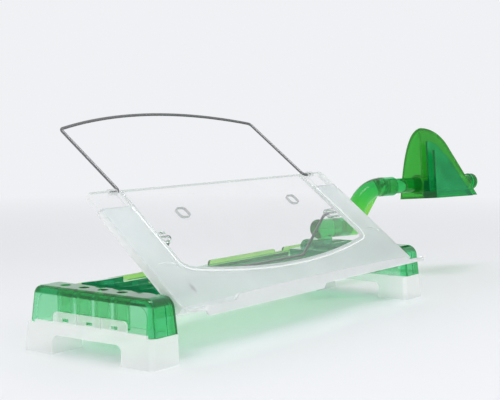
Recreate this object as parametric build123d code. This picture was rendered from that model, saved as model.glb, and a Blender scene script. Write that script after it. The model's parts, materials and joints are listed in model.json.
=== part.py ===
from build123d import *
import math
import os

# Desk document holder, in millimetres.
# X runs along the holder, Y to the back and Z up; the origin is on the desk between the feet.

# Overall and feet
span = 460.0
foot_width = 37.0
foot_depth = 148.0
foot_height = 25.4
foot_draft = 1.6
foot_corner = 4.0
foot_step = 0.6
rim_height = 3.0
rim_half_length = 64.0
arch_depth = 79.0
arch_height = 17.0
arch_corner = 6.0
tab_length = 84.0
tab_height = 12.0
tab_thickness = 2.2
tab_corner = 4.0
tab_shift = -3.0
tab_slit = 1.4
tab_window_length = 9.0
tab_window_height = 3.0
tab_window_drop = 5.0

# Legs
leg_setback = 3.5
leg_width = 30.9
leg_front = -73.4
leg_back = 70.8
leg_height = 31.5
leg_outer_draft = 1.6
leg_inner_draft = 1.6
leg_depth_draft = 3.4
leg_wall = 2.6
leg_nose = 11.0
leg_heel = 8.0
leg_outer_edge = 5.0
leg_inner_edge = 2.5
panel_recess = 1.2
panel_inset = 8.7
panel_drop = 6.5
panel_corner = 10.0
leg_groove = 0.9
leg_groove_depth = 0.7

# Socket holes in the leg tops
socket_inset = 14.4
socket_radius = 4.7
socket_wall = 2.3
socket_depth = 24.0
socket_setback = 28.8
socket_pitch = 22.0
sockets_per_leg = 4

# Deck between the legs
deck_drop = 9.5
deck_thickness = 3.0
deck_front_setback = 23.4
deck_back_setback = 6.8
deck_skirt = 12.0
rib_end_gap = 3.0
rib_height = 3.0
rib_ramp = 8.0
rib_gap = 0.6
rib_pitch = 22.0
ribs_in_front = 2
ribs_in_all = 4

# Back rails on the deck
rail_inner = 17.0
rail_end_gap = 5.6
rail_outer_length = 38.0
rail_gap = 16.0
rail_thickness = 2.4
rail_height = 4.6
rail_foot = 1.0
rail_corner = 3.4
rail_setback = 1.0

# Racks beside the legs
rack_leg_gap = 5.6
tooth_lengths = (30.0, 38.0, 32.0, 25.0)
rack_setback = 21.4
rack_pitch = 22.6
valley_rise = 9.0
tooth_rise = 4.0
step_length = 28.0
step_overlap = 1.0
step_depth = 45.6
step_rise = 6.0

# Easel board, laid out flat and then leaned back
tilt = 38.5
board_leg_gap = 0.4
board_thickness = 3.0
board_foot = 14.0
board_height = 157.0
board_taper = 5.2
board_corner = 6.0
column_top_width = 44.5
column_foot_width = 44.2
window_corner_height = 57.0
window_sag_height = 40.0
window_corner = 10.0
window_fit = 0.2
slot_inset = 54.5
slot_drop = 35.5
slot_length = 14.0
slot_width = 12.0
slot_corner = 3.5
dimple_inset = 22.2
dimple_height = 60.0
dimple_half_length = 14.0
dimple_half_width = 5.0
dimple_depth = 0.7
flange_thickness = 2.6
flange_top_drop = 4.8
flange_foot_drop = 8.0

# Hinge between easel and racks
hinge_reach = 6.0
hinge_rise = 5.0
hinge_height = 33.99
hinge_drop = 7.87
hinge_boss = 5.5
pin_radius = 2.5
pin_head_radius = 3.6
pin_head = 1.4
pin_length = 26.0
ear_gap = 0.6
ear_thickness = 4.4
running_fit = 0.06

# Document ledge
ledge_inset = 3.7
ledge_thickness = 2.6
ledge_bend = 3.5
ledge_depth = 18.2
ledge_slant = 3.5
ledge_rise = 5.4
ledge_corner = 8.0
lip_inset = 41.5
lip_corner = 6.0
lip_rise = 10.4
lip_bow = 1.5
apron_inset = 1.5
apron_length = 181.5
apron_drop = 5.7
apron_slant = 4.0

# Bent wire
wire_radius = 1.5
wire_bend = 5.0

# Extension bail and its corner blocks
block_length = 34.0
block_base_length = 42.4
block_base = 1.3
block_drop = 21.0
block_rise = 0.7
knuckle_radius = 3.2
knuckle_end = 2.5
bail_inset = 39.7
bail_stub_length = 13.0
bail_lift = 1.75
bail_lean = 1.65
bail_shoulder = 92.2
bail_crown = 112.3
bail_corner = 5.0

# Support bail and its clips
strut_axis = 97.5
strut_gap = 0.4
strut_inset = 62.0
strut_stub_length = 22.0
strut_foot_gap = 0.3
strut_lean = 60.0
clip_gap = 6.0
clip_end = 4.0
clip_length = 11.0
clip_wall = 1.8
clip_edge = 2.0

# Side arm: post, sleeve, upper arm and collar
arm_swing = -16.0
post_gap = 0.3
peg_length = 22.0
shoulder_radius = 8.5
tube_radius = 11.0
tube_clear = 1.5
tube_start = -17.0
tube_round = 6.5
sleeve_start = 17.4
sleeve_length = 17.2
sleeve_floor = 2.0
seam_chamfer = 0.6
body_gap = 0.3
spigot_radius = 7.0
spigot_relief = 1.2
riser_gap = 11.4
bend_radius = 40.5
bend_rise = 3.4
web_thickness = 5.0
web_foot_out = 20.5
web_foot_rise = 2.4
collar_length = 21.0
collar_wall = 2.25
collar_floor = 4.5
ring_groove = 1.0
ring_depth = 0.8
ring_inset = 3.2

# Clip bar and knob
bar_radius = 9.15
knob_gap = 0.9
knob_lip = 1.25
knob_length = 10.0
knob_round = 5.0

# Note clip, laid out from its open end and leaned about the bar
note_travel = 43.5
note_lean = -5.5
note_base = -17.3
note_wall = 2.6
note_back = -30.0
note_height = 86.3
note_depth = 62.3
back_front = 10.7
back_shares = (
    (0.653, 1.000),
    (0.530, 0.975),
    (0.403, 0.905),
    (0.311, 0.810),
    (0.181, 0.585),
    (0.096, 0.357),
    (0.000, 0.000),
)
back_arch = 60.0
back_angle = 51.8
middle_front = 21.0
middle_thickness = 2.5
middle_top = 52.0
middle_arch = 32.0
middle_angle = 48.0
front_thickness = 3.1
front_top = 40.5
front_arch = 34.0
front_angle = 50.0
rear_slot_floor = 4.5
front_slot_floor = -9.6
note_boss_wall = 3.05
note_fit = 0.08
overrun = 3.0

# Places along the holder, from its ends inwards
foot_out = span / 2
foot_in = foot_out - foot_width
leg_outer = foot_out - leg_setback
leg_inner = leg_outer - leg_width
socket_line = leg_inner + socket_inset
rack_outer = leg_inner - rack_leg_gap
rack_inner_ends = [rack_outer - length for length in tooth_lengths]
rack_shallow_end = max(rack_inner_ends)
step_outer = rack_outer - min(tooth_lengths) + step_overlap
step_inner = step_outer - step_length
rib_half_length = step_inner - rib_end_gap
rail_outer = leg_inner - rail_end_gap
rail_gap_end = rail_outer - rail_outer_length
rail_gap_start = rail_gap_end - rail_gap
board_foot_half = leg_inner - board_leg_gap
board_top_half = board_foot_half - board_taper
window_top_half = board_top_half - column_top_width
window_foot_half = board_foot_half - column_foot_width
slot_place = window_top_half - slot_inset
dimple_place = board_foot_half - dimple_inset
ear_outer = rack_shallow_end - ear_gap
ear_inner = ear_outer - ear_thickness
ledge_half = board_foot_half - ledge_inset
lip_half = ledge_half - lip_inset
block_inner = board_top_half - block_length
block_base_inner = board_top_half - block_base_length
bail_half = board_top_half - bail_inset
bail_stub = bail_half + bail_stub_length
strut_half = board_top_half - strut_inset
strut_stub = strut_half + strut_stub_length
clip_inner = strut_half + clip_gap
clip_outer = strut_stub + clip_end

# Levels above the desk and places from front to back
leg_foot = foot_height + foot_step
leg_top = leg_foot + leg_height
panel_top = leg_top - panel_drop
deck_top = leg_top - deck_drop
deck_front = leg_front + deck_front_setback
deck_back = leg_back - deck_back_setback
rack_valley = deck_top + valley_rise
rack_peak = rack_valley + tooth_rise
rack_back = deck_back - rack_setback
step_front = rack_back - step_depth
step_top = deck_top + step_rise
socket_back = leg_back - socket_setback
hinge_y = deck_front - hinge_reach
hinge_z = deck_top + hinge_rise

# Sizes across the board and along the arm
half_thickness = board_thickness / 2
block_foot = board_height - block_drop
block_top = board_height + block_rise
bail_axis = block_top - knuckle_radius
slot_height = board_height - slot_drop
strut_drop = half_thickness + strut_gap + wire_radius
clip_depth = strut_drop + wire_radius + clip_wall - half_thickness
peg_radius = socket_radius - running_fit
post_foot = leg_top + post_gap
tube_height = post_foot + tube_clear + tube_radius
sleeve_end = sleeve_start + sleeve_length
riser_start = sleeve_end + riser_gap
collar_radius = bar_radius + collar_wall
knob_radius = bar_radius + knob_lip
note_boss = bar_radius + note_boss_wall


def block(x0, x1, y0, y1, z0, z1):
    middle = ((x0 + x1) / 2, (y0 + y1) / 2, (z0 + z1) / 2)
    return Pos(*middle) * Box(abs(x1 - x0), abs(y1 - y0), abs(z1 - z0))


def rod_along_x(x0, x1, y, z, radius):
    low = (Align.CENTER, Align.CENTER, Align.MIN)
    return Pos(min(x0, x1), y, z) * Rot(0, 90, 0) * Cylinder(radius, abs(x1 - x0), align=low)


def sheet_across_x(outline, x0, x1):
    return Pos(x0, 0, 0) * extrude(Plane.YZ * outline, x1 - x0)


def sheet_across_front(outline, y_front, y_back):
    return Pos(0, y_back, 0) * extrude(Plane.XZ * outline, y_back - y_front)


def level_rectangle(x0, x1, y0, y1, z):
    return Pos((x0 + x1) / 2, (y0 + y1) / 2, z) * Rectangle(x1 - x0, y1 - y0)


def mirrored(shape):
    return mirror(shape, about=Plane.YZ)


def save(name, shape):
    export_step(shape, f"parts/{name}.step")


def save_pair(name, right_shape):
    save(f"right_{name}", right_shape)
    save(f"left_{name}", mirrored(right_shape))


os.makedirs("parts", exist_ok=True)

# Feet: a drafted block over an arch, a low step for the leg and a slit clip tab outside
foot_half = foot_depth / 2
foot_top_half = foot_half - foot_draft
foot = loft([
    level_rectangle(foot_in, foot_out, -foot_half, foot_half, 0),
    level_rectangle(foot_in, foot_out - foot_draft, -foot_top_half, foot_top_half, foot_height),
])
upright = foot.edges().filter_by(lambda edge: edge.bounding_box().size.Z > foot_draft)
foot = fillet(upright, foot_corner)
arch = RectangleRounded(arch_depth, arch_height + arch_height, arch_corner)
foot -= sheet_across_x(arch, foot_in - overrun, foot_out + overrun)
tab_in = leg_outer + body_gap
tab_out = tab_in + tab_thickness
tab_low = foot_height - foot_draft
foot += block(leg_inner + leg_wall, leg_outer - leg_wall, leg_front + leg_wall, leg_back - leg_wall,
              foot_height, leg_foot)
tab = block(tab_in, tab_out, tab_shift - rim_half_length, tab_shift + rim_half_length,
            tab_low, foot_height + rim_height)
tab_outline = RectangleRounded(tab_length, tab_height + tab_height, tab_corner)
tab += Pos(0, tab_shift, foot_height) * sheet_across_x(tab_outline, tab_in, tab_out)
tab &= block(0, span, -span, span, tab_low, span)
slit_low = foot_height + rim_height
third = tab_length / 3
for side in (-1, 1):
    middle = tab_shift + side * third / 2
    tab -= block(leg_outer, span, middle - tab_slit / 2, middle + tab_slit / 2, slit_low, span)
for place in (-1, 0, 1):
    middle = tab_shift + place * third
    low = foot_height + tab_height - tab_window_drop - tab_window_height
    tab -= block(leg_outer, span, middle - tab_window_length / 2, middle + tab_window_length / 2,
                 low, low + tab_window_height)
foot += tab
save_pair("foot", foot)


# Legs: a drafted shell with rounded ends, a sunk side panel, a front groove and four sockets
def leg_block(shrink):
    inner = leg_inner + shrink
    outer = leg_outer - shrink
    front = leg_front + shrink
    back = leg_back - shrink
    return loft([
        level_rectangle(inner, outer, front, back, leg_foot),
        level_rectangle(inner + leg_inner_draft, outer - leg_outer_draft,
                        front + leg_depth_draft, back - leg_depth_draft, leg_top - shrink),
    ])


def end_edge(shape, place):
    return shape.edges().group_by(Axis.Z)[-1].sort_by(Axis.Y)[place]


def rim_edges(shape, place):
    rim = shape.faces().sort_by(Axis.X)[place].edges()
    return [edge for edge in rim if edge.center().Z > leg_foot + leg_wall]


leg_body = leg_block(0)
leg_body = fillet(end_edge(leg_body, 0), leg_nose)
leg_body = fillet(end_edge(leg_body, -1), leg_heel)
leg_body = fillet(rim_edges(leg_body, 0), leg_inner_edge)
leg_body = fillet(rim_edges(leg_body, -1), leg_outer_edge)
leg_hollow = leg_block(leg_wall)
leg_hollow = fillet(end_edge(leg_hollow, 0), leg_nose - leg_wall)
leg_hollow = fillet(end_edge(leg_hollow, -1), leg_heel - leg_wall)
leg = leg_body - leg_hollow
socket_places = [socket_back - socket_pitch * number for number in range(sockets_per_leg)]
down = (Align.CENTER, Align.CENTER, Align.MAX)
for place in socket_places:
    tube = Cylinder(socket_radius + socket_wall, leg_top - leg_foot - leg_wall / 2, align=down)
    leg += Pos(socket_line, place, leg_top - leg_wall / 2) * tube
for place in socket_places:
    leg -= Pos(socket_line, place, leg_top) * Cylinder(socket_radius, socket_depth, align=down)
panel_height = panel_top - leg_foot
panel_middle = (leg_front + leg_back) / 2
panel_depth = leg_back - leg_front - panel_inset - panel_inset
panel = RectangleRounded(panel_depth, panel_height + panel_height, panel_corner)
panel = Pos(panel_middle, leg_foot) * panel
panel_cut = sheet_across_x(panel, socket_line, leg_outer + overrun)
leg -= panel_cut - Pos(-panel_recess, 0, 0) * leg_body
groove_cut = block(socket_line - leg_groove / 2, socket_line + leg_groove / 2,
                   -foot_half, 0, leg_foot - overrun, panel_top)
leg -= groove_cut - Pos(0, leg_groove_depth, 0) * leg_body
save_pair("leg", leg)

# Board frame of reference, hinge line and the places of the support bail
lean = math.radians(tilt)
board_start_y = hinge_y - hinge_height * math.cos(lean) - hinge_drop * math.sin(lean)
board_start_z = hinge_z - hinge_height * math.sin(lean) + hinge_drop * math.cos(lean)
board = Pos(0, board_start_y, board_start_z) * Rot(tilt, 0, 0)


def on_board(height, lift):
    y = board_start_y + height * math.cos(lean) - lift * math.sin(lean)
    z = board_start_z + height * math.sin(lean) + lift * math.cos(lean)
    return y, z


strut_y, strut_z = on_board(strut_axis, -strut_drop)
strut_foot_z = deck_top + strut_foot_gap + wire_radius
strut_length = (strut_z - strut_foot_z) / math.sin(math.radians(strut_lean))
strut_foot_y = strut_y + strut_length * math.cos(math.radians(strut_lean))

# Deck: a plate with skirts along its front and back
deck = block(-leg_outer, leg_outer, deck_front, deck_back, deck_top - deck_thickness, deck_top)
skirt_low = deck_top - deck_skirt
deck += block(-leg_outer, leg_outer, deck_front, deck_front + deck_thickness, skirt_low, deck_top)
deck += block(-leg_outer, leg_outer, deck_back - deck_thickness, deck_back, skirt_low, deck_top)
for side in (leg_body, mirrored(leg_body)):
    deck -= side
deck &= block(-socket_line, socket_line, -span, span, 0, span)
deck = max(deck.solids(), key=lambda solid: solid.volume)
save("deck", deck)

# Deck stops: low ramped ribs on the deck that catch the foot of the support bail
first_rib = strut_foot_y + wire_radius + rib_gap - ribs_in_front * rib_pitch
for number in range(ribs_in_all):
    rib_front = first_rib + number * rib_pitch
    rib = Polygon((rib_front, deck_top), (rib_front + rib_ramp, deck_top),
                  (rib_front, deck_top + rib_height), align=None)
    save(f"deck_stop_{number + 1}", sheet_across_x(rib, -rib_half_length, rib_half_length))

# Back rails: thin upright strips with a gap, standing at the back of the deck
rail_back = deck_back - rail_setback
inner_strip = Rectangle(rail_gap_start - rail_inner, rail_height)
inner_strip = fillet(inner_strip.vertices().group_by(Axis.Y)[-1], rail_corner)
outer_strip = Rectangle(rail_outer - rail_gap_end, rail_height)
outer_strip = fillet(outer_strip.vertices().group_by(Axis.Y)[-1].sort_by(Axis.X)[0], rail_corner)
foot_strip = Rectangle(rail_outer - rail_inner, rail_foot)
rail_middle = deck_top + rail_height / 2
rail_face = Pos((rail_inner + rail_gap_start) / 2, rail_middle) * inner_strip
rail_face += Pos((rail_gap_end + rail_outer) / 2, rail_middle) * outer_strip
rail_face += Pos((rail_inner + rail_outer) / 2, deck_top + rail_foot / 2) * foot_strip
rail = sheet_across_front(rail_face, rail_back - rail_thickness, rail_back)
save_pair("back_rail", rail)

# Racks: four saw teeth, a low inner step and the bearing for the hinge pin
rack = block(rack_shallow_end, rack_outer, hinge_y, rack_back, deck_top, rack_valley)
for number, inner_end in enumerate(rack_inner_ends):
    tooth_back = rack_back - rack_pitch * number
    tooth_front = tooth_back - rack_pitch
    tooth = Polygon((tooth_front, deck_top), (tooth_back, deck_top),
                    (tooth_back, rack_valley), (tooth_front, rack_peak), align=None)
    rack += sheet_across_x(tooth, inner_end, rack_outer)
rack += block(step_inner, step_outer, step_front, rack_back, deck_top, step_top)
rack += rod_along_x(rack_shallow_end, rack_outer, hinge_y, hinge_z, hinge_boss)
rack -= rod_along_x(step_inner, leg_outer, hinge_y, hinge_z, pin_radius + running_fit)
save_pair("rack", rack)

# Easel frame: a frosted border round the window, with side flanges carried by the hinge
window_rise = board_height + overrun


def side_at(top_half, foot_half_width, foot_level, height):
    share = (height - foot_level) / (board_height - foot_level)
    return foot_half_width + (top_half - foot_half_width) * share


def window_outline(top):
    top_half = side_at(window_top_half, window_foot_half, window_corner_height, top)
    left_foot = (-window_foot_half, window_corner_height)
    right_foot = (window_foot_half, window_corner_height)
    border = [
        Line((-top_half, top), left_foot),
        ThreePointArc(left_foot, (0, window_sag_height), right_foot),
        Line(right_foot, (top_half, top)),
        Line((top_half, top), (-top_half, top)),
    ]
    face = make_face(border)
    return fillet(face.vertices().group_by(Axis.Y)[0], window_corner)


def plate(outline, low, high):
    return Pos(0, 0, low) * extrude(outline, high - low)


frame_outline = Polygon((-board_foot_half, board_foot), (board_foot_half, board_foot),
                        (board_top_half, board_height), (-board_top_half, board_height), align=None)
frame = plate(frame_outline, -half_thickness, half_thickness)
frame -= plate(window_outline(window_rise), -board_thickness, board_thickness)
flange = plate(frame_outline, -flange_foot_drop, 0)
flange -= plate(offset(frame_outline, -flange_thickness, kind=Kind.INTERSECTION), -span, span)
flange_side = Polygon((board_foot, 0), (board_foot, -flange_foot_drop),
                      (block_foot, -flange_top_drop), (block_foot, 0), align=None)
frame += flange & sheet_across_x(flange_side, -span, span)
for side in (-1, 1):
    ear = rod_along_x(side * ear_inner, side * ear_outer, hinge_height, -hinge_drop, hinge_boss)
    ear += block(side * ear_inner, side * ear_outer, hinge_height - hinge_boss,
                 hinge_height + hinge_boss, -hinge_drop, 0)
    frame += ear
    frame -= block(side * (block_base_inner - window_fit), side * span,
                   block_foot, window_rise, -span, span)
    frame -= rod_along_x(0, side * span, hinge_height, -hinge_drop, pin_radius)
    dimple = Pos(side * dimple_place, dimple_height) * Ellipse(dimple_half_length, dimple_half_width)
    frame -= plate(dimple, half_thickness - dimple_depth, board_thickness)
save("easel_frame", board * frame)

# Window panel: clear sheet with two rounded openings
window = offset(window_outline(board_height), -window_fit, kind=Kind.INTERSECTION)
for side in (-1, 1):
    window -= Pos(side * slot_place, slot_height) * RectangleRounded(slot_length, slot_width, slot_corner)
save("window_panel", board * plate(window, -half_thickness, half_thickness))

# Hinge pins: pressed through the ears, turning in the racks
pin = rod_along_x(ear_inner, ear_inner + pin_length, hinge_y, hinge_z, pin_radius)
pin += rod_along_x(ear_inner - pin_head, ear_inner, hinge_y, hinge_z, pin_head_radius)
save_pair("hinge_pin", pin)


# Document ledge: a bent trough under the board, a taller lip in the middle and an apron on the left
def thick_line(points, thickness):
    shape = None
    for start, end in zip(points, points[1:]):
        length = math.dist(start, end)
        angle = math.degrees(math.atan2(end[1] - start[1], end[0] - start[0]))
        piece = Rectangle(length, thickness, align=(Align.MIN, Align.CENTER))
        piece = Pos(*start) * Rot(0, 0, angle) * piece
        piece += Pos(*end) * Circle(thickness / 2)
        shape = piece if shape is None else shape + piece
    return shape


bend_y, bend_z = on_board(board_foot - ledge_bend, 0)
ledge_front = bend_y - ledge_depth
ledge_floor = bend_z + ledge_slant
ledge_lip = bend_z + ledge_rise
lip_height = bend_z + lip_rise
lip_crown = lip_height + lip_bow
ledge_line = [on_board(board_foot, 0), (bend_y, bend_z), (ledge_front, ledge_floor),
              (ledge_front, ledge_lip)]
ledge = sheet_across_x(thick_line(ledge_line, ledge_thickness), -ledge_half, ledge_half)
lip_border = [
    Line((-lip_half, ledge_floor), (-lip_half, lip_height)),
    ThreePointArc((-lip_half, lip_height), (0, lip_crown), (lip_half, lip_height)),
    Line((lip_half, lip_height), (lip_half, ledge_floor)),
    Line((lip_half, ledge_floor), (-lip_half, ledge_floor)),
]
lip = make_face(lip_border)
lip = fillet(lip.vertices().group_by(Axis.Y)[-1], lip_corner)
apron_left = apron_inset - ledge_half
apron_right = apron_left + apron_length
apron_low = ledge_floor - apron_drop
apron = Polygon((apron_left, ledge_floor), (apron_left + apron_slant, apron_low),
                (apron_right - apron_slant, apron_low), (apron_right, ledge_floor), align=None)
lip_half_thickness = ledge_thickness / 2
for wall in (lip, apron):
    ledge += sheet_across_front(wall, ledge_front - lip_half_thickness, ledge_front + lip_half_thickness)
end_wall = Polygon(on_board(board_foot, 0), on_board(board_foot, -flange_foot_drop),
                   (ledge_front, ledge_floor), (ledge_front, ledge_lip), align=None)
for side in (-1, 1):
    ledge += sheet_across_x(end_wall, side * ledge_half, side * (ledge_half - ledge_thickness))
plan_back = board_start_y + board_height
plan_front = ledge_front - lip_half_thickness
plan = Pos(0, (plan_front + plan_back) / 2) * Rectangle(ledge_half + ledge_half, plan_back - plan_front)
plan = fillet(plan.vertices().group_by(Axis.Y)[0], ledge_corner)
ledge &= extrude(plan, span)
save("document_ledge", ledge)

# Corner blocks: clear plates with a bored knuckle for the end of the extension bail
block_side = side_at(board_top_half, board_foot_half, board_foot, block_foot)
corner_outline = Polygon((block_inner, block_foot), (block_side, block_foot),
                         (board_top_half, block_top), (block_inner, block_top), align=None)
corner_outline = fillet(corner_outline.vertices().group_by(Axis.Y)[-1].sort_by(Axis.X)[-1],
                        board_corner)
corner_hollow = Polygon((0, block_foot - overrun), (block_side - flange_thickness, block_foot - overrun),
                        (board_top_half - flange_thickness, block_top + overrun), (0, block_top + overrun),
                        align=None)
corner = plate(corner_outline, -flange_top_drop, half_thickness)
corner -= plate(corner_hollow, -span, -half_thickness)
corner += block(block_base_inner, block_inner, block_foot, block_top,
                -half_thickness, block_base - half_thickness)
corner += rod_along_x(block_inner, bail_stub + knuckle_end, bail_axis, bail_lift, knuckle_radius)
corner -= rod_along_x(block_inner - overrun, bail_stub + wire_radius,
                      bail_axis, bail_lift, wire_radius + running_fit)
save_pair("corner_block", board * corner)

# Extension bail: wire ends, straight legs and a shallow arch
bail_rise = bail_crown - bail_shoulder
arch_radius = (bail_half ** 2 + bail_rise ** 2) / (2 * bail_rise)
arch_middle = bail_crown - arch_radius
corner_middle = bail_half - bail_corner
corner_height = arch_middle + math.sqrt((arch_radius - bail_corner) ** 2 - corner_middle ** 2)
corner_reach = arch_radius / (arch_radius - bail_corner)
arch_end = (corner_middle * corner_reach, arch_middle + (corner_height - arch_middle) * corner_reach)
stub_turn = bail_half + wire_bend
bail_path = Wire([
    Line((-bail_stub, 0), (-stub_turn, 0)),
    TangentArc((-stub_turn, 0), (-bail_half, wire_bend), tangent=(1, 0)),
    Line((-bail_half, wire_bend), (-bail_half, corner_height)),
    TangentArc((-bail_half, corner_height), (-arch_end[0], arch_end[1]), tangent=(0, 1)),
    ThreePointArc((-arch_end[0], arch_end[1]), (0, bail_crown), arch_end),
    TangentArc((bail_half, corner_height), arch_end, tangent=(0, 1)),
    Line((bail_half, corner_height), (bail_half, wire_bend)),
    TangentArc((stub_turn, 0), (bail_half, wire_bend), tangent=(-1, 0)),
    Line((stub_turn, 0), (bail_stub, 0)),
])
bail_section = Plane(origin=(-bail_stub, 0, 0), z_dir=(1, 0, 0)) * Circle(wire_radius)
bail = sweep(bail_section, path=bail_path)
bail_place = Pos(0, bail_axis, bail_lift) * Rot(-bail_lean, 0, 0)
save("extension_bail", board * (bail_place * bail))

# Support bail: wire ends, two legs and the cross-bar that stands on the deck
strut_path = FilletPolyline((-strut_stub, 0), (-strut_half, 0), (-strut_half, -strut_length),
                            (strut_half, -strut_length), (strut_half, 0), (strut_stub, 0),
                            radius=wire_bend)
strut_section = Plane(origin=(-strut_stub, 0, 0), z_dir=(1, 0, 0)) * Circle(wire_radius)
strut = sweep(strut_section, path=strut_path)
strut_place = Pos(0, strut_y, strut_z) * Rot(180 - strut_lean, 0, 0)
save("support_bail", strut_place * strut)

# Strut clips: small bored blocks on the back of the board
clip = block(clip_inner, clip_outer, strut_axis - clip_length / 2, strut_axis + clip_length / 2,
             -half_thickness - clip_depth, -half_thickness)
clip = fillet(clip.faces().sort_by(Axis.Z)[0].edges().filter_by(Axis.X), clip_edge)
clip -= block(clip_inner - overrun, side_at(window_top_half, window_foot_half, window_corner_height,
                                            strut_axis - clip_length) + window_fit,
              strut_axis - clip_length, strut_axis + clip_length,
              -half_thickness - body_gap, 0)
clip -= rod_along_x(clip_inner - overrun, strut_stub + wire_radius,
                    strut_axis, -strut_drop, wire_radius + running_fit)
save_pair("strut_clip", board * clip)

# Arm post: peg in the rear socket of the right leg, shoulder and the start of the lower tube
arm = Pos(socket_line, socket_back, 0) * Rot(0, 0, arm_swing)
up = (Align.CENTER, Align.CENTER, Align.MIN)
post = Pos(0, 0, post_foot - peg_length) * Cylinder(peg_radius, peg_length, align=up)
post += Pos(0, 0, post_foot) * Cylinder(shoulder_radius, tube_height - post_foot, align=up)
tube = rod_along_x(tube_start, sleeve_start, 0, tube_height, tube_radius)
post += fillet(tube.edges().filter_by(GeomType.CIRCLE).sort_by(Axis.X)[0], tube_round)
save("arm_post", arm * post)

# Swivel sleeve: a cup on the post that holds the spigot of the upper arm
sleeve = rod_along_x(sleeve_start, sleeve_end, 0, tube_height, tube_radius)
sleeve = chamfer(sleeve.edges(), seam_chamfer)
sleeve -= rod_along_x(sleeve_start + sleeve_floor, sleeve_end + overrun, 0, tube_height,
                      spigot_radius + running_fit)
save("swivel_sleeve", arm * sleeve)

# Upper arm: spigot, tight corner, wide bend and a thin web inside the bend
upper_start = sleeve_end + body_gap
bend_middle = riser_start + bend_radius
bend_foot = tube_height + bend_rise
bar_height = bend_foot + bend_radius
upper = rod_along_x(sleeve_start + sleeve_floor + spigot_relief, upper_start, 0, tube_height,
                    spigot_radius)
upper += rod_along_x(upper_start, riser_start, 0, tube_height, tube_radius)
upper += Pos(riser_start, 0, tube_height) * Sphere(tube_radius)
upper += Pos(riser_start, 0, tube_height) * Cylinder(tube_radius, bend_rise, align=up)
bend_path = Plane.XZ * CenterArc((bend_middle, bend_foot), bend_radius, 90, 90)
bend_end = Plane(origin=(bend_middle, 0, bar_height), z_dir=(-1, 0, 0)) * Circle(tube_radius)
upper += sweep(bend_end, path=bend_path)
web = Polygon((bend_middle, bar_height - tube_radius / 2), (bend_middle, bar_height - tube_radius),
              (riser_start + web_foot_out, bend_foot + web_foot_rise),
              (riser_start, bend_foot + web_foot_rise), align=None)
web_arc = Pos(bend_middle, bend_foot) * Circle(bend_radius)
upper += sheet_across_front(web & web_arc, -web_thickness / 2, web_thickness / 2)
save("upper_arm", arm * upper)

# Bar collar: a socket with two ring grooves
collar_end = bend_middle + collar_length
collar = rod_along_x(bend_middle, collar_end, 0, bar_height, collar_radius)
for place in (bend_middle + ring_inset, collar_end - ring_inset):
    ring = rod_along_x(place - ring_groove / 2, place + ring_groove / 2, 0, bar_height,
                       collar_radius + overrun)
    ring -= rod_along_x(place - ring_groove, place + ring_groove, 0, bar_height,
                        collar_radius - ring_depth)
    collar -= ring
collar -= rod_along_x(bend_middle + collar_floor, collar_end + overrun, 0, bar_height,
                      bar_radius + running_fit)
save("bar_collar", arm * collar)


# Note clip: a hollow back tier and two thin tiers in front, each with an arched outline
def arch_point(top, radius, angle):
    turn = math.radians(angle)
    return radius * math.sin(turn), top - radius * (1 - math.cos(turn))


def slope_place(top, radius, angle, level):
    turn_x, turn_z = arch_point(top, radius, angle)
    return turn_x + (turn_z - level) / math.tan(math.radians(angle))


def tier_outline(top, radius, angle, inset):
    base = note_base + inset
    crown = top - inset
    bend = radius - inset
    turn = arch_point(crown, bend, angle)
    end = (slope_place(crown, bend, angle, base), base)
    border = [
        Line((0, base), (0, crown)),
        ThreePointArc((0, crown), arch_point(crown, bend, angle / 2), turn),
        Line(turn, end),
        Line(end, (0, base)),
    ]
    return make_face(border)


def tier(top, radius, angle, inset, behind, ahead):
    return sheet_across_front(tier_outline(top, radius, angle, inset), -ahead, -behind)


note_start = collar_end + note_travel
back_top = note_base + note_height
back_points = [(-(note_back + note_depth * share[0]), note_base + note_height * share[1])
               for share in back_shares]
back_border = [
    Spline(*back_points),
    Line(back_points[-1], (-back_front, note_base)),
    Line((-back_front, note_base), back_points[0]),
]
back_face = make_face(back_border)
back_length = note_depth + note_height
back_end = sheet_across_x(back_face, 0, back_length)
back_solid = tier(back_top, back_arch, back_angle, 0, note_back, back_front) & back_end
hollow = tier(back_top, back_arch, back_angle, note_wall, note_back, back_front - note_wall)
hollow = hollow & Pos(0, -note_wall, -note_wall) * back_end
mouth = block(0, note_wall, -span, span, -span, span)
hollow += Pos(-note_wall, 0, 0) * (hollow & mouth)
note = back_solid - hollow
note += rod_along_x(0, back_length, 0, 0, note_boss) & back_solid
middle_back = middle_front - middle_thickness
front_face_at = note_back + note_depth
front_back = front_face_at - front_thickness
note += tier(middle_top, middle_arch, middle_angle, 0, middle_back, middle_front)
rear_floor = tier(middle_top, middle_arch, middle_angle, 0, back_front - note_wall / 2, middle_back)
note += rear_floor & block(-span, span, -span, span, -span, rear_slot_floor)
front_floor = tier(front_top, front_arch, front_angle, 0, middle_front, front_back)
note += front_floor & block(-span, span, -span, span, -span, front_slot_floor)
note += tier(front_top, front_arch, front_angle, 0, front_back, front_face_at)
note -= rod_along_x(-overrun, back_length, 0, 0, bar_radius + note_fit)
save("note_clip", arm * (Pos(note_start, 0, bar_height) * Rot(note_lean, 0, 0) * note))

# Clip bar and its knob
bar_start = bend_middle + collar_floor + body_gap
bar_end = note_start + slope_place(back_top, back_arch, back_angle, -knob_radius) + knob_gap
save("clip_bar", arm * rod_along_x(bar_start, bar_end, 0, bar_height, bar_radius))
knob = rod_along_x(bar_end, bar_end + knob_length, 0, bar_height, knob_radius)
knob = fillet(knob.edges().filter_by(GeomType.CIRCLE).sort_by(Axis.X)[-1], knob_round)
save("bar_knob", arm * knob)
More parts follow.
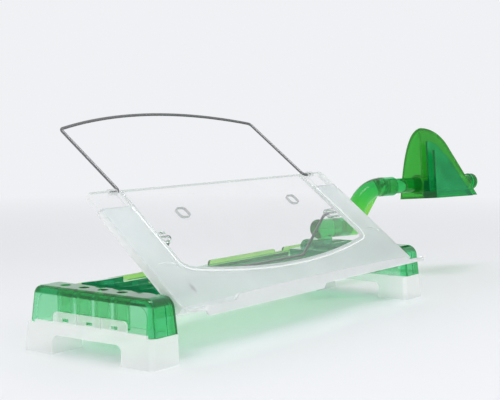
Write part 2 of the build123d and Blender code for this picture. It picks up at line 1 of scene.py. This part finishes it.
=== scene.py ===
import bpy
import json
import math
import numpy as np
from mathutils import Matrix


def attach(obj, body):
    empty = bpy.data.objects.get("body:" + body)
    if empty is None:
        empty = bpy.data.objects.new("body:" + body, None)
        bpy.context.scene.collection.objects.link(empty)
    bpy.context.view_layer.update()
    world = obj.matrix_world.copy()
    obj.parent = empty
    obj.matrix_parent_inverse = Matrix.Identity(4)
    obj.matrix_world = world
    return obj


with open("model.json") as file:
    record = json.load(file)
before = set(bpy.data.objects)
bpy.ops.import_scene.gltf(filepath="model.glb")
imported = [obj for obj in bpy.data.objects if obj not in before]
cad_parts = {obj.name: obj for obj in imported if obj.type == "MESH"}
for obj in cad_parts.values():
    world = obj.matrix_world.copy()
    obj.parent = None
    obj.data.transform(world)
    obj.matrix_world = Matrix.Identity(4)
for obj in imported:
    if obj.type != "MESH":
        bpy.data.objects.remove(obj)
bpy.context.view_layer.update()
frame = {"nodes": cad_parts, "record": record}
nodes = frame["nodes"]
print("frame loaded:", len(nodes), "nodes")

# the photograph's viewpoint: where the camera stands, how it points, and its lens
cameraSpec = {
    "place": (-0.9365, -0.6846, 0.2174),   # metres
    "yaw": 53.972,                         # degrees from +Y towards +X
    "pitch": 4.823,                        # degrees downwards
    "focal": 1177.6,                       # pixels, on a frame of this width
    "frameWidth": 500,
    "sensor": 36.0,                        # millimetres
    "sees": (0.01, 60.0),                  # nearest and farthest, metres
}


def buildCamera(spec):
    data = bpy.data.cameras.new("viewpoint")
    data.sensor_fit = "HORIZONTAL"
    data.sensor_width = spec["sensor"]
    data.lens = spec["focal"] * spec["sensor"] / spec["frameWidth"]
    data.clip_start, data.clip_end = spec["sees"]
    camera = bpy.data.objects.new("viewpoint", data)
    camera.location = spec["place"]
    camera.rotation_euler = (math.radians(90 - spec["pitch"]), 0.0, -math.radians(spec["yaw"]))
    bpy.context.scene.collection.objects.link(camera)
    bpy.context.scene.camera = camera


buildCamera(cameraSpec)
print("camera set")


# one output socket of a node tree; arithmetic on it adds Math nodes
class Value:
    def __init__(self, finish, socket):
        self.finish = finish
        self.socket = socket

    def maths(self, operation, first, second):
        return self.finish.add("ShaderNodeMath", {"operation": operation}, {0: first, 1: second})

    def __add__(self, other):
        return self.maths("ADD", self, other)

    def __radd__(self, other):
        return self.maths("ADD", other, self)

    def __sub__(self, other):
        return self.maths("SUBTRACT", self, other)

    def __rsub__(self, other):
        return self.maths("SUBTRACT", other, self)

    def __mul__(self, other):
        return self.maths("MULTIPLY", self, other)

    def __rmul__(self, other):
        return self.maths("MULTIPLY", other, self)

    def __abs__(self):
        return self.maths("ABSOLUTE", self, 0.0)

    def larger(self, other):
        return self.maths("MAXIMUM", self, other)


# the node tree of a material or of the world
class Finish:
    def __init__(self, owner, output="ShaderNodeOutputMaterial"):
        self.owner = owner
        self.owner.use_nodes = True
        self.tree = self.owner.node_tree
        self.tree.nodes.clear()
        self.output = self.tree.nodes.new(output)

    # any node, from its type, its settings and the values or links of its sockets
    def add(self, kind, settings=None, inputs=None, out=0):
        node = self.tree.nodes.new(kind)
        for key, value in (settings or {}).items():
            setattr(node, key, value)
        for key, value in (inputs or {}).items():
            socket = node.inputs[key]
            if isinstance(value, Value):
                self.tree.links.new(value.socket, socket)
            else:
                socket.default_value = value
        return Value(self, node.outputs[out])

    def close(self, surface, volume=None):
        self.tree.links.new(surface.socket, self.output.inputs["Surface"])
        if volume is not None:
            self.tree.links.new(volume.socket, self.output.inputs["Volume"])
        return self.owner

    def place(self):
        return self.add("ShaderNodeTexCoord", out="Object")

    def noise(self, scale, detail, rough):
        sockets = {"Vector": self.place(), "Scale": scale, "Detail": detail, "Roughness": rough}
        return self.add("ShaderNodeTexNoise", {"noise_dimensions": "3D"}, sockets)

    # low to high carried over to toLow to toHigh, and level beyond them
    def between(self, value, low, high, toLow=0.0, toHigh=1.0):
        return self.add("ShaderNodeMapRange", {"clamp": True}, {
            "Value": value, "From Min": low, "From Max": high, "To Min": toLow, "To Max": toHigh})

    # 6, 7 and output 2 are the colour sockets of a Mix node
    def blend(self, share, first, second):
        settings = {"data_type": "RGBA"}
        return self.add("ShaderNodeMix", settings, {0: share, 6: first, 7: second}, out=2)

    def dot(self, vector, direction):
        sockets = {0: vector, 1: direction}
        settings = {"operation": "DOT_PRODUCT"}
        return self.add("ShaderNodeVectorMath", settings, sockets, out="Value")

    # how far a point lies along a direction, in metres
    def along(self, direction):
        return self.dot(self.place(), direction)

    # 1 where the face looks along a direction of the piece, 0 where it stands on edge to it
    def facing(self, direction):
        return abs(self.dot(self.add("ShaderNodeTexCoord", out="Normal"), direction))

    def bump(self, height, strength, distance):
        return self.add("ShaderNodeBump", {}, {
            "Strength": strength, "Distance": distance, "Height": height})


def shade(colour):
    return (*colour, 1.0)


# light that goes straight through a see-through plastic keeps its tint in the shadow
def letThrough(finish, surface, cast):
    veil = finish.add("ShaderNodeBsdfTransparent", {}, {"Color": shade(cast)})
    shadow = finish.add("ShaderNodeLightPath", out="Is Shadow Ray")
    return finish.add("ShaderNodeMixShader", {}, {0: shadow, 1: surface, 2: veil})


alongX = (1.0, 0.0, 0.0)
alongY = (0.0, 1.0, 0.0)
alongZ = (0.0, 0.0, 1.0)
noiseSpan = (0.3, 0.7)       # where nearly all of a noise pattern lies
patchSpan = (0.35, 0.65)     # a narrower span, for patches with firmer edges

# translucent green plastic: tint deepens with thickness, faint swirl in the colour,
# fine moulding waves
greenSpec = {
    "deep": (0.12, 0.71, 0.36),            # the swirl's two colours
    "bright": (0.20, 0.79, 0.42),
    "thinAndLit": (0.62, 0.92, 0.72),            # where a piece's own rows say so
    "darkest": (0.02, 0.45, 0.18),
    "absorb": (0.07, 0.88, 0.55),
    "density": 80.0,
    "cast": (0.97, 0.865, 0.895),          # tint of the shadow
    "clear": 0.96,
    "bend": 1.43,                          # refractive index
    "swirl": (26.0, 3.0, 0.55),            # scale, detail and roughness of the noise
    "wave": (340.0, 2.0, 0.4),
    "rough": (0.03, 0.09),
    "relief": (0.06, 0.0003),              # strength and metres
}
railSpec = dict(greenSpec, deep=(0.44, 0.80, 0.20), bright=(0.54, 0.84, 0.26))
deckSpec = dict(greenSpec, deep=(0.38, 0.84, 0.54), bright=(0.48, 0.88, 0.60), density=55.0)
armSpec = dict(greenSpec, deep=(0.06, 0.63, 0.25), bright=(0.11, 0.71, 0.30),
               thinAndLit=(0.40, 0.80, 0.13), absorb=(0.06, 0.86, 0.42), density=85.0, bend=1.36)


# where a piece is paler or darker than the rest, for thinner walls, for painted light on lit
# faces
# and for painted shade on edges: each of these functions gives rows of how far it is so, and the
# colour it takes there
legSpec = dict(greenSpec, nose=(-0.0652, -0.0634),   # its front end stays plain, metres along Y
               band=(0.0500, 0.0518))                # where its darker top band starts, metres up


def legShares(finish, spec):
    behind = finish.between(finish.along(alongY), *spec["nose"])
    band = finish.between(finish.along(alongZ), *spec["band"])
    return [((1.0 - band) * behind, "thinAndLit"), (band, "darkest")]


rackSpec = dict(greenSpec, deep=(0.03, 0.45, 0.27), bright=(0.06, 0.54, 0.33),
                thinAndLit=(0.42, 0.84, 0.62), clear=0.70,
                level=(0.6, 0.95))                   # how far a face looks up


def rackShares(finish, spec):
    # painted light: faces that look up take the paler colour, so the tops read lighter than the
    # fronts
    return [(finish.between(finish.facing(alongZ), *spec["level"]), "thinAndLit")]


elbowSpec = dict(armSpec, fade=(0.090, 0.116))       # painted light: paler below, full colour above, metres up


def elbowShares(finish, spec):
    return [(finish.between(finish.along(alongZ), *spec["fade"], 1.0, 0.0), "thinAndLit")]


clipSpec = dict(armSpec, deep=(0.01, 0.52, 0.19), bright=(0.05, 0.74, 0.32),
                thinAndLit=(0.12, 0.62, 0.11), darkest=(0.01, 0.20, 0.08),
                density=70.0, bend=1.30, clear=0.75,
                swing=-16.0,                         # the arm's turn, degrees
                socket=(0.210, 0.042),               # where the arm stands, metres along X and Y
                back=(0.0105, 0.0125),               # where the back plate ends, metres ahead
                rim=(0.3, 0.8))                      # how far a face of the tiers looks ahead


def clipShares(finish, spec):
    swing = math.radians(spec["swing"])
    ahead = (math.sin(swing), -math.cos(swing), 0.0)
    axis = spec["socket"][0] * ahead[0] + spec["socket"][1] * ahead[1]
    back = finish.between(finish.along(ahead) - axis, *spec["back"], 1.0, 0.0)
    # painted shade: tier faces standing edge-on to the front take the darkest colour, outlining
    # the tiers
    rim = finish.between(finish.facing(ahead), *spec["rim"], 1.0, 0.0)
    return [(back, "thinAndLit"), ((1.0 - back) * rim, "darkest")]


def greenFinish(name, spec, sharesOf=None):
    finish = Finish(bpy.data.materials.new(name))
    swirl = finish.between(finish.noise(*spec["swirl"]), *patchSpan)
    wave = finish.noise(*spec["wave"])
    colour = finish.blend(swirl, shade(spec["deep"]), shade(spec["bright"]))
    for share, key in sharesOf(finish, spec) if sharesOf else []:
        colour = finish.blend(share, colour, shade(spec[key]))
    surface = finish.add("ShaderNodeBsdfPrincipled", {}, {
        "Base Color": colour,
        "Roughness": finish.between(wave, *noiseSpan, *spec["rough"]),
        "Normal": finish.bump(wave, *spec["relief"]),
        "IOR": spec["bend"],
        "Transmission Weight": spec["clear"],
    }, out="BSDF")
    volume = finish.add("ShaderNodeVolumeAbsorption", {}, {
        "Color": shade(spec["absorb"]),
        "Density": spec["density"],
    })
    return finish.close(letThrough(finish, surface, spec["cast"]), volume)


# the leaning board: its normal, the direction up its face, and the point its heights
# are counted from
boardLean = math.radians(38.5)
boardNormal = (0.0, -math.sin(boardLean), math.cos(boardLean))
boardUp = np.array((0.0, math.cos(boardLean), math.sin(boardLean)))
boardStart = np.array((0.0, -0.0875, 0.038))
cutEdge = (0.5, 0.9)         # how far a face looks along the normal, from cut edge to flat face

# frosted plastic: cool grey with a fine etched grain, and a painted white highlight on its cut
# edges
frostSpec = {
    "pale": (0.80, 0.835, 0.84),
    "cool": (0.74, 0.79, 0.785),
    "edge": (1.0, 1.0, 1.0),
    "cast": (0.95, 0.96, 0.96),
    "clear": 0.62,
    "bend": 1.45,
    "rough": (0.38, 0.52),
    "relief": (0.12, 0.0002),
    "veil": 0.0,                           # how far a piece is seen through
    "tab": 0.0,                            # and how much more the upright tab of a foot is
    "tabFoot": (0.0284, 0.0294),           # where the tab starts, metres up
    "patch": (18.0, 2.0, 0.5),
    "grain": (1500.0, 3.0, 0.6),
}
footSpec = dict(frostSpec, pale=(0.98, 0.985, 0.985), cool=(0.97, 0.98, 0.98), clear=0.0,
                rough=(0.10, 0.18), relief=(0.03, 0.0002), grain=(350.0, 3.0, 0.6),
                veil=0.45, tab=0.22)
polishedSpec = dict(footSpec, rough=(0.03, 0.07), clear=0.95, veil=0.0, tab=0.0)
# the bead's near-white, less clear finish is a painted highlight along the window's rim
beadHighlightSpec = dict(polishedSpec, clear=0.3, pale=(0.97, 0.98, 0.98), cool=(0.93, 0.95, 0.95))


def frostFinish(name, spec):
    finish = Finish(bpy.data.materials.new(name))
    patch = finish.between(finish.noise(*spec["patch"]), *patchSpan)
    grain = finish.noise(*spec["grain"])
    colour = finish.blend(patch, shade(spec["cool"]), shade(spec["pale"]))
    # painted highlight: faces standing edge-on to the board, its cut edges, take the white edge
    # colour
    rim = finish.between(finish.facing(boardNormal), *cutEdge, 1.0, 0.0)
    body = 1.0 - spec["veil"]
    if spec["tab"]:
        high = finish.between(finish.along(alongZ), *spec["tabFoot"])
        body = body - high * finish.facing(alongX) * spec["tab"]
    surface = finish.add("ShaderNodeBsdfPrincipled", {}, {
        "Base Color": finish.blend(rim, colour, shade(spec["edge"])),
        "Alpha": body,
        "Roughness": finish.between(grain, *noiseSpan, *spec["rough"]),
        "Normal": finish.bump(grain, *spec["relief"]),
        "IOR": spec["bend"],
        "Transmission Weight": spec["clear"],
    }, out="BSDF")
    return finish.close(letThrough(finish, surface, spec["cast"]))


# clear plastic: polished, with faint handling marks, a painted pale highlight on its cut edges
# and painted grey shade on those of the window's two openings
clearSpec = {
    "tint": (0.70, 0.72, 0.73),
    "smear": (0.66, 0.68, 0.69),
    "edge": (0.95, 0.96, 0.97),
    "slotEdgeShade": (0.40, 0.41, 0.42),
    "slotPlace": (0.091, 0.1215),          # metres from the middle and up the board
    "slotReach": (0.0125, 0.0145),
    "marks": (24.0, 4.0, 0.6),
    "marksSpan": (0.4, 0.6),
    "film": (0.09, 0.11),                  # how far the flat faces show, over the marks
    "edgeFilm": 0.5,                       # and how much more the cut edges do
    "rough": (0.10, 0.22),
    "bend": 1.45,
}


def clearFinish(name, spec):
    finish = Finish(bpy.data.materials.new(name))
    marks = finish.noise(*spec["marks"])
    smear = finish.between(marks, *spec["marksSpan"])
    colour = finish.blend(smear, shade(spec["tint"]), shade(spec["smear"]))
    # painted highlight on the cut edges, and painted grey shade on the edges of the two slots
    rim = finish.between(finish.facing(boardNormal), *cutEdge, 1.0, 0.0)
    slotAside, slotUp = spec["slotPlace"]
    aside = abs(abs(finish.along(alongX)) - slotAside)
    above = abs(finish.along(boardUp) - float(boardUp @ boardStart) - slotUp)
    slot = finish.between(aside + above, *spec["slotReach"], 1.0, 0.0)
    edge = finish.blend(slot, shade(spec["edge"]), shade(spec["slotEdgeShade"]))
    surface = finish.add("ShaderNodeBsdfPrincipled", {}, {
        "Base Color": finish.blend(rim, colour, edge),
        "Roughness": finish.between(marks, *noiseSpan, *spec["rough"]),
        "Alpha": finish.between(marks, *noiseSpan, *spec["film"]) + rim * spec["edgeFilm"],
        "IOR": spec["bend"],
    }, out="BSDF")
    return finish.close(surface)


# drawn steel wire: dark and satin, with a fine grain
steelSpec = {
    "dark": (0.13, 0.13, 0.135),
    "light": (0.25, 0.25, 0.255),
    "grain": (900.0, 2.0, 0.5),
    "rough": (0.26, 0.42),
    "metal": 0.85,
    "relief": (0.1, 0.0001),
}


def steelFinish(name, spec):
    finish = Finish(bpy.data.materials.new(name))
    grain = finish.noise(*spec["grain"])
    share = finish.between(grain, *noiseSpan)
    surface = finish.add("ShaderNodeBsdfPrincipled", {}, {
        "Base Color": finish.blend(share, shade(spec["dark"]), shade(spec["light"])),
        "Roughness": finish.between(grain, *noiseSpan, *spec["rough"]),
        "Metallic": spec["metal"],
        "Normal": finish.bump(grain, *spec["relief"]),
    }, out="BSDF")
    return finish.close(surface)


armGreen = greenFinish("deep_green_plastic", armSpec)
deckGreen = greenFinish("deck_plastic", deckSpec)
finishOfKind = {
    "leg": greenFinish("leg_plastic", legSpec, legShares),
    "deck": deckGreen,
    "deck_stop": deckGreen,
    "rack": greenFinish("rack_plastic", rackSpec, rackShares),
    "foot": frostFinish("hazy_plastic", footSpec),
    "strut_clip": frostFinish("polished_plastic", polishedSpec),
    "arm_post": armGreen,
    "swivel_sleeve": armGreen,
    "upper_arm": greenFinish("elbow_plastic", elbowSpec, elbowShares),
    "bar_collar": armGreen,
    "clip_bar": armGreen,
    "bar_knob": armGreen,
    "note_clip": greenFinish("clip_plastic", clipSpec, clipShares),
}
# every other kind of piece takes the finish of its slot
finishOfSlot = {
    "thin_green_plastic": greenFinish("thin_green_plastic", railSpec),
    "frosted_plastic": frostFinish("frosted_plastic", frostSpec),
    "clear_plastic": clearFinish("clear_plastic", clearSpec),
    "steel_wire": steelFinish("steel_wire", steelSpec),
}
for row in frame["record"]["subparts"]:
    kind = row["node"].removeprefix("left_").removeprefix("right_").rstrip("_1234")
    materials = nodes[row["node"]].data.materials
    materials.clear()
    materials.append(finishOfKind.get(kind) or finishOfSlot[row["material_slot"]])
print("finishes on", len(nodes), "nodes")

# bead round the window, on the front of the frame, near-white as a painted highlight: up one
# side, along the sagging foot, up the other; lengths in metres, heights up the board
beadSpec = {
    "topHalf": 0.1455,      # half the window's width at its top
    "footHalf": 0.1510,     # and at its lower corners
    "windowTop": 0.157,
    "top": 0.1352,          # where the bead ends, under the corner blocks
    "corner": 0.057,
    "sag": 0.040,
    "corners": 0.010,       # radius of the lower corners
    "outset": 0.0042,       # from the window's edge to the middle of the bead
    "halfWidth": 0.0010,
    "rise": 0.0005,
    "face": 0.0015,         # the frame's front, ahead of the middle of the board
    "sidePoints": 81,
    "footPoints": 241,
    "pathPoints": 400,
    "sectionPoints": 13,
}


# the window's edge: two straight leaning sides and, between their feet, the arc that passes
# through both lower corners and the lowest point of the sag
def windowEdge(spec):
    half = spec["footHalf"]
    drop = spec["corner"] - spec["sag"]
    radius = (half ** 2 + drop ** 2) / (2 * drop)
    across = np.linspace(-half, half, spec["footPoints"])
    height = spec["sag"] + radius - np.sqrt(radius ** 2 - across ** 2)
    side = np.linspace(spec["top"], spec["corner"], spec["sidePoints"])
    lean = (half - spec["topHalf"]) / (spec["windowTop"] - spec["corner"])
    width = half - (side - spec["corner"]) * lean
    left = np.stack([-width, side], 1)
    foot = np.stack([across, height], 1)[1:-1]
    right = np.stack([width, side], 1)[::-1]
    return np.concatenate([left, foot, right])


# equal steps along a path, rounded at the corners by a running mean
def roundedPath(path, count, rounding):
    lengths = np.linalg.norm(np.diff(path, axis=0), axis=1)
    step = np.concatenate([[0.0], np.cumsum(lengths)])
    even = np.linspace(0.0, step[-1], count)
    path = np.stack([np.interp(even, step, path[:, k]) for k in (0, 1)], 1)
    reach = int(rounding / (even[1] - even[0]))
    before, after = np.repeat(path[:1], reach, 0), np.repeat(path[-1:], reach, 0)
    padded = np.concatenate([before, path, after])
    kernel = np.ones(2 * reach + 1) / (2 * reach + 1)
    mean = np.stack([np.convolve(padded[:, k], kernel, "valid") for k in (0, 1)], 1)
    path[reach:-reach] = mean[reach:-reach]
    return path


# half an ellipse standing on the frame's face, carried along the window's edge at the outset
def buildBead(spec):
    path = roundedPath(windowEdge(spec), spec["pathPoints"], spec["corners"])
    along = np.gradient(path, axis=0)
    along /= np.linalg.norm(along, axis=1, keepdims=True)
    out = np.stack([along[:, 1], -along[:, 0]], 1)
    turn = np.linspace(0.0, np.pi, spec["sectionPoints"])
    aside = spec["outset"] - np.cos(turn) * spec["halfWidth"]
    lift = spec["face"] + np.sin(turn) * spec["rise"]
    flat = path[:, None, :] + out[:, None, :] * aside[None, :, None]
    grid = (boardStart + flat[..., :1] * np.array(alongX) + flat[..., 1:] * boardUp
            + lift[None, :, None] * np.array(boardNormal))
    rows, columns = grid.shape[:2]
    index = np.arange(rows * columns).reshape(rows, columns)
    quads = np.stack([index[:-1, :-1], index[:-1, 1:], index[1:, 1:], index[1:, :-1]], -1)
    ends = [index[0].tolist(), index[-1][::-1].tolist()]
    mesh = bpy.data.meshes.new("window_bead")
    mesh.from_pydata(grid.reshape(-1, 3).tolist(), [], quads.reshape(-1, 4).tolist() + ends)
    mesh.polygons.foreach_set("use_smooth", np.ones(len(mesh.polygons), dtype=bool))
    mesh.materials.append(frostFinish("bead_highlight", beadHighlightSpec))
    bead = bpy.data.objects.new("window_bead", mesh)
    bpy.context.scene.collection.objects.link(bead)
    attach(bead, "easel")


buildBead(beadSpec)
print("bead made")

# the table, which keeps the shadow near the object and fades into the pale room
roomSpec = {
    "pale": (0.87, 0.88, 0.905),
    "table": (0.79, 0.80, 0.825),
    "rough": 0.6,
    "fade": (0.55, 1.6),             # metres from the middle
    "half": 30.0,
    "daylight": (1.0, 1.0, 1.0),
    "strength": 0.75,
}


def buildTable(spec):
    half = spec["half"]
    corners = [(-half, -half, 0), (half, -half, 0), (half, half, 0), (-half, half, 0)]
    mesh = bpy.data.meshes.new("table")
    mesh.from_pydata(corners, [], [(0, 1, 2, 3)])
    table = bpy.data.objects.new("table", mesh)
    bpy.context.scene.collection.objects.link(table)
    finish = Finish(bpy.data.materials.new("table_top"))
    length = {"operation": "LENGTH"}
    reach = finish.add("ShaderNodeVectorMath", length, {0: finish.place()}, out="Value")
    top = finish.add("ShaderNodeBsdfPrincipled", {}, {
        "Base Color": shade(spec["table"]), "Roughness": spec["rough"]}, out="BSDF")
    glow = finish.add("ShaderNodeEmission", {}, {"Color": shade(spec["pale"]), "Strength": 1.0})
    away = finish.between(reach, *spec["fade"])
    surface = finish.add("ShaderNodeMixShader", {}, {0: away, 1: top, 2: glow})
    mesh.materials.append(finish.close(surface))


# the camera, glossy faces and clear plastic see the pale room; the object is lit by daylight
def buildRoom(spec):
    world = bpy.data.worlds.new("room")
    bpy.context.scene.world = world
    room = Finish(world, "ShaderNodeOutputWorld")
    straight, mirrored, bent = [room.add("ShaderNodeLightPath", out=ray) for ray in (
        "Is Camera Ray", "Is Glossy Ray", "Is Transmission Ray")]
    seen = straight.larger(mirrored.larger(bent))
    daylight = room.add("ShaderNodeBackground", {}, {
        "Color": shade(spec["daylight"]), "Strength": spec["strength"]})
    pale = room.add("ShaderNodeBackground", {}, {"Color": shade(spec["pale"]), "Strength": 1.0})
    room.close(room.add("ShaderNodeMixShader", {}, {0: seen, 1: daylight, 2: pale}))


buildTable(roomSpec)
buildRoom(roomSpec)

# soft boxes: a broad one overhead and a smaller one from the front left
lampSpec = {
    "overhead": {
        "place": (-0.1, -0.2, 1.5),
        "aim": (0.0, 0.0, 0.05),
        "size": (0.9, 0.24),
        "watts": 7.5,
    },
    "front": {
        "place": (-1.3, -1.2, 0.9),
        "aim": (0.0, 0.0, 0.08),
        "size": (0.7, 0.12),
        "watts": 5.0,
    },
}


def buildLamps(spec):
    for name, lamp in spec.items():
        data = bpy.data.lights.new(name, "AREA")
        data.shape = "RECTANGLE"
        data.size, data.size_y = lamp["size"]
        data.energy = lamp["watts"]
        light = bpy.data.objects.new(name, data)
        place = np.array(lamp["place"])
        aim = np.array(lamp["aim"]) - place
        flat = math.hypot(aim[0], aim[1])
        light.location = place
        light.rotation_euler = (math.atan2(flat, -aim[2]), 0.0, math.atan2(-aim[0], aim[1]))
        bpy.context.scene.collection.objects.link(light)


buildLamps(lampSpec)
bpy.context.scene.view_settings.view_transform = "Standard"

# light crosses many walls of the see-through plastic before it comes out
bounceSpec = {
    "max_bounces": 32,
    "glossy_bounces": 24,
    "transmission_bounces": 32,
    "transparent_max_bounces": 48,
}
for key, count in bounceSpec.items():
    setattr(bpy.context.scene.cycles, key, count)
print("room and lamps set")
